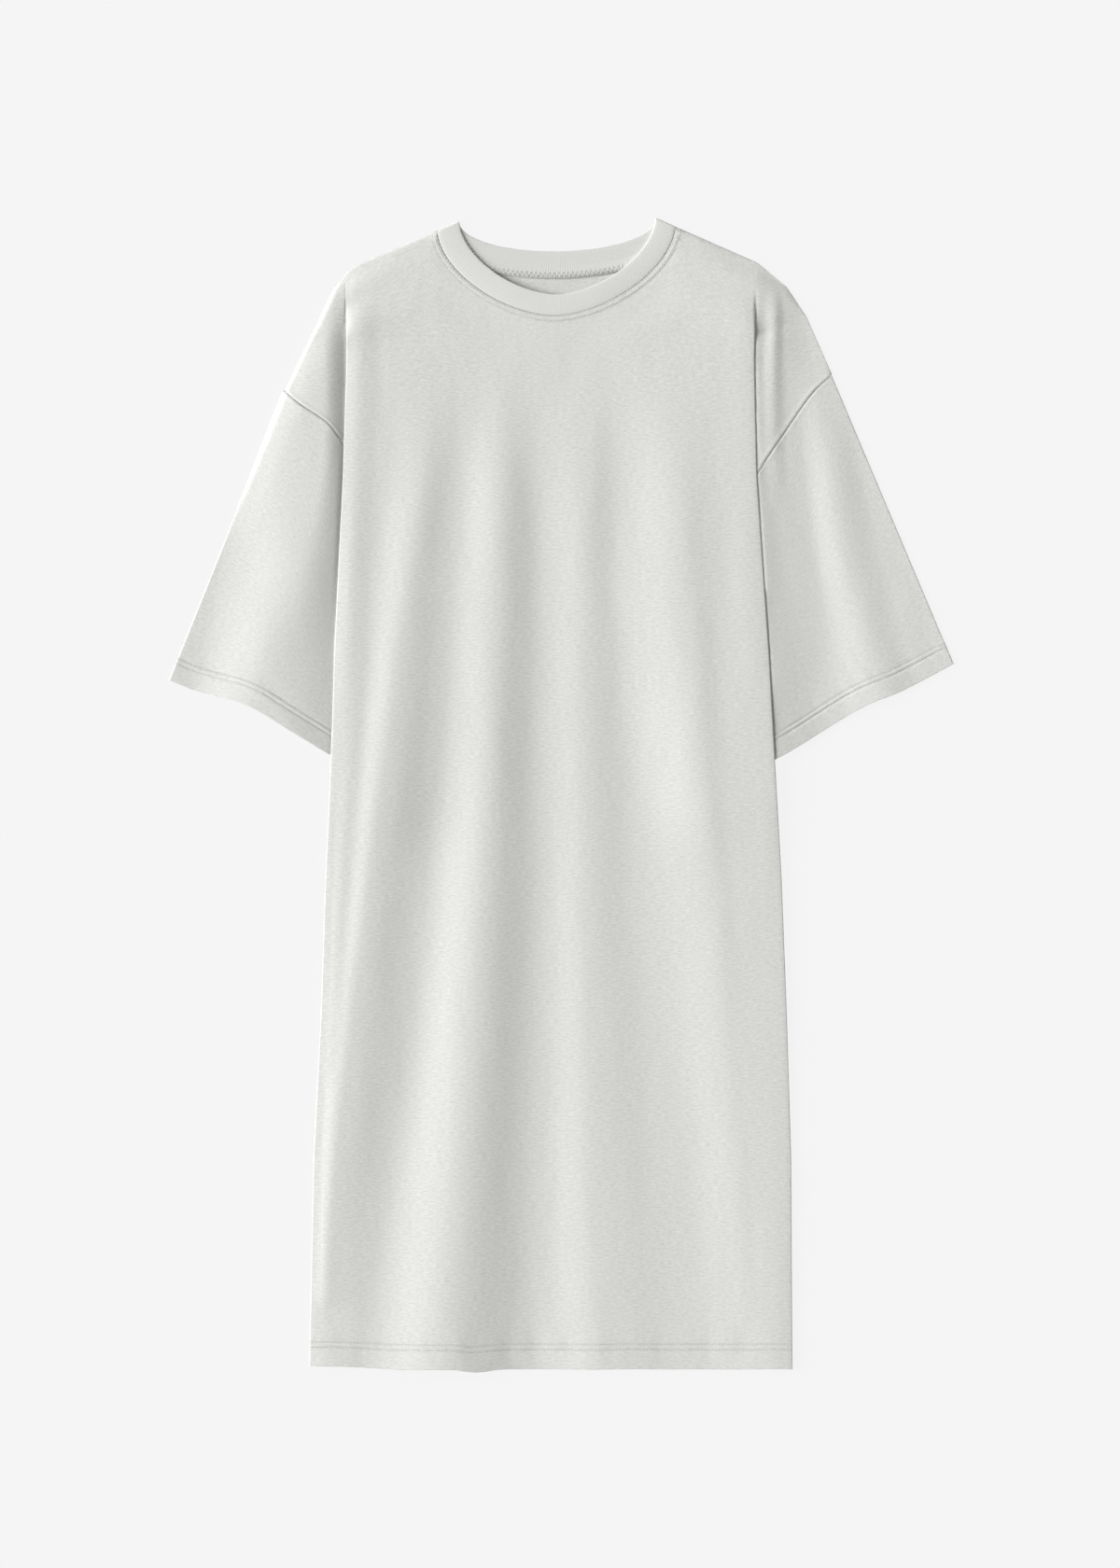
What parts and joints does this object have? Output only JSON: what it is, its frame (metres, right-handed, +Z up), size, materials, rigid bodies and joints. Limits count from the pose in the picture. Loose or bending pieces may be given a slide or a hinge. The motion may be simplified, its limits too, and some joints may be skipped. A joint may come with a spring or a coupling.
{
  "type": "t-shirt dress",
  "caption": "Knee-length t-shirt dress in soft jersey, laid flat, with a round rib neckband, dropped shoulders and wide short sleeves.",
  "frame": {"origin": "on the surface the dress lies on, under the middle of its length and width", "axes": "+X to the right as the front is seen, +Y from the hem to the neck, +Z up off the surface, out of the front"},
  "size_m": [0.7574, 1.1099, 0.0162],
  "materials": {
    "jersey": "matte",
    "rib": "matte"
  },
  "bodies": {
    "root": {"front_body": "jersey", "back_body": "jersey", "sleeve_left": "jersey", "sleeve_right": "jersey", "neckband": "rib"}
  },
  "joints": []
}
